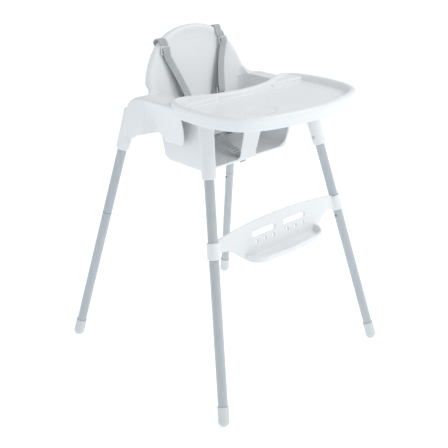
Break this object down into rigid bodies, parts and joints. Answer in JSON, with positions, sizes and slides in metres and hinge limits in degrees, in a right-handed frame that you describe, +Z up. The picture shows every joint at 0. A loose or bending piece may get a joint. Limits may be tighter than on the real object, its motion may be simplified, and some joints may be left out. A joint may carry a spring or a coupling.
{
  "type": "baby high chair",
  "caption": "Moulded bucket-seat baby high chair on splayed tube legs, with a slide-off tray, a footrest and a webbing harness.",
  "frame": {"origin": "on the floor, midway between the four feet", "axes": "+Z up; the seated child faces -Y; +X is the child's left"},
  "size_m": [0.6392, 0.6514, 0.9045],
  "materials": {
    "seat_plastic": "satin moulded polypropylene with a fine texture",
    "tray_plastic": "smooth semi-gloss moulded polypropylene",
    "footrest_plastic": "satin moulded polypropylene",
    "leg_paint": "powder-coated steel tube, semi-gloss",
    "foot_plastic": "soft moulded plastic cap",
    "button_steel": "dark plated steel pin",
    "spring_steel": "tempered spring strip",
    "screw_steel": "zinc-plated screw",
    "webbing": "woven polyester webbing",
    "harness_plastic": "semi-gloss moulded acetal",
    "release_plastic": "semi-gloss grey button"
  },
  "bodies": {
    "chair": {"buckle_body": "harness_plastic", "buckle_tongue_left": "harness_plastic", "buckle_tongue_right": "harness_plastic", "footrest": "footrest_plastic", "leg_foot_front_left": "foot_plastic", "leg_foot_front_right": "foot_plastic", "leg_foot_rear_left": "foot_plastic", "leg_foot_rear_right": "foot_plastic", "leg_lower_front_left": "leg_paint", "leg_lower_front_right": "leg_paint", "leg_lower_rear_left": "leg_paint", "leg_lower_rear_right": "leg_paint", "leg_upper_front_left": "leg_paint", "leg_upper_front_right": "leg_paint", "leg_upper_rear_left": "leg_paint", "leg_upper_rear_right": "leg_paint", "seat_shell": "seat_plastic", "slider_crotch": "harness_plastic", "slider_shoulder_left": "harness_plastic", "slider_shoulder_right": "harness_plastic", "snap_spring_front_left": "spring_steel", "snap_spring_front_right": "spring_steel", "snap_spring_rear_left": "spring_steel", "snap_spring_rear_right": "spring_steel", "socket_screw_front_left": "screw_steel", "socket_screw_front_right": "screw_steel", "socket_screw_rear_left": "screw_steel", "socket_screw_rear_right": "screw_steel", "strap_crotch": "webbing", "strap_lap_left": "webbing", "strap_lap_right": "webbing", "strap_shoulder_left": "webbing", "strap_shoulder_right": "webbing"},
    "tray": {"tray": "tray_plastic"},
    "buckle_release": {"buckle_button": "release_plastic"},
    "pin_front_left": {"snap_button_front_left": "button_steel"},
    "pin_front_right": {"snap_button_front_right": "button_steel"},
    "pin_rear_left": {"snap_button_rear_left": "button_steel"},
    "pin_rear_right": {"snap_button_rear_right": "button_steel"}
  },
  "joints": [
    {"name": "tray_slide", "type": "slide", "parent": "chair", "child": "tray", "axis": [0, -1, 0], "range_m": [0, 0.2]},
    {"name": "snap_pin_front_left", "type": "slide", "parent": "chair", "child": "pin_front_left", "axis": [0.9873, 0.0402, 0.1538], "range_m": [0, 0.0042], "stiffness_N_per_m": 600, "springref_m": -0.002},
    {"name": "snap_pin_front_right", "type": "slide", "parent": "chair", "child": "pin_front_right", "axis": [-0.9873, 0.0402, 0.1538], "range_m": [0, 0.0042], "stiffness_N_per_m": 600, "springref_m": -0.002},
    {"name": "snap_pin_rear_left", "type": "slide", "parent": "chair", "child": "pin_rear_left", "axis": [0.9872, -0.0351, 0.1555], "range_m": [0, 0.0042], "stiffness_N_per_m": 600, "springref_m": -0.002},
    {"name": "snap_pin_rear_right", "type": "slide", "parent": "chair", "child": "pin_rear_right", "axis": [-0.9872, -0.0351, 0.1555], "range_m": [0, 0.0042], "stiffness_N_per_m": 600, "springref_m": -0.002},
    {"name": "buckle_press", "type": "slide", "parent": "chair", "child": "buckle_release", "axis": [0, 0.5736, -0.8192], "range_m": [0, 0.0024], "stiffness_N_per_m": 500, "springref_m": -0.002}
  ]
}
